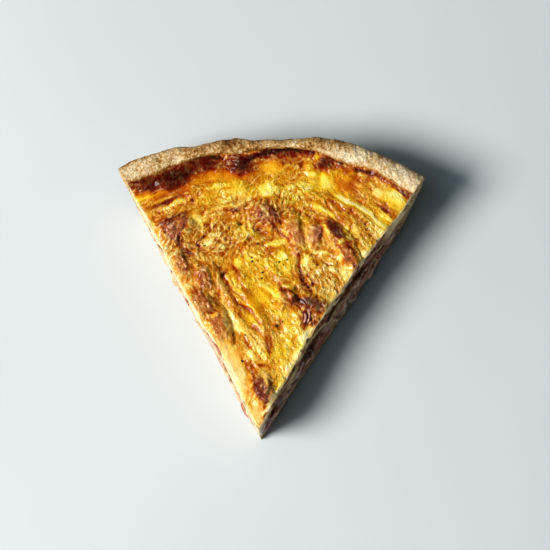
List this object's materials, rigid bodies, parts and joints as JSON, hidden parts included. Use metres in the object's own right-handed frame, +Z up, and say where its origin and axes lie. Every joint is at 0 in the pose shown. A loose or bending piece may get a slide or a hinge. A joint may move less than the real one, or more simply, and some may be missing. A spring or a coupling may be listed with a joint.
{
  "type": "slice of quiche lorraine",
  "caption": "Wedge slice of quiche lorraine: shortcrust base, flared wall and pressed rim, a bacon and onion layer, and browned egg custard with bacon and onion showing.",
  "frame": {"origin": "centre of the bounding box in plan, on the flat underside that the slice lies on", "axes": "+Z up, from the underside to the browned top; +Y from the tip towards the rim; +X to the right of the slice seen from above with the tip towards the viewer"},
  "size_m": [0.1372, 0.1323, 0.0344],
  "materials": {
    "pastry": "baked shortcrust pastry, matt and floury, browner at the rim's edge",
    "custard": "baked egg custard, golden and browned on top with a light gloss, pale yellow and moist where cut",
    "bacon_and_onion": "soft layer of bacon and cooked onion bound with custard, moist where cut",
    "bacon": "cooked smoked bacon, red-brown with paler fat, slightly greasy",
    "onion": "cooked red onion, purple skin side and pale flesh, moist"
  },
  "bodies": {
    "root": {"crust": "pastry", "bacon_onion_layer": "bacon_and_onion", "custard": "custard", "bacon_top_left": "bacon", "bacon_top_middle": "bacon", "bacon_top_upright": "bacon", "bacon_top_pink": "bacon", "bacon_top_dark": "bacon", "bacon_top_side": "bacon", "bacon_top_edge": "bacon", "bacon_top_narrow": "bacon", "bacon_top_long": "bacon", "bacon_top_low": "bacon", "bacon_top_dome": "bacon", "bacon_top_streak": "bacon", "bacon_top_tip": "bacon", "bacon_right_rim": "bacon", "bacon_right_back": "bacon", "bacon_right_middle": "bacon", "bacon_right_front": "bacon", "bacon_right_tip": "bacon", "bacon_right_high": "bacon", "bacon_left_rim": "bacon", "bacon_left_back": "bacon", "bacon_left_middle": "bacon", "bacon_left_front": "bacon", "bacon_left_tip": "bacon", "bacon_left_high": "bacon", "onion_top_outer": "onion", "onion_top_inner": "onion", "onion_right_back": "onion", "onion_right_front": "onion", "onion_left_back": "onion", "onion_left_front": "onion"}
  },
  "joints": []
}
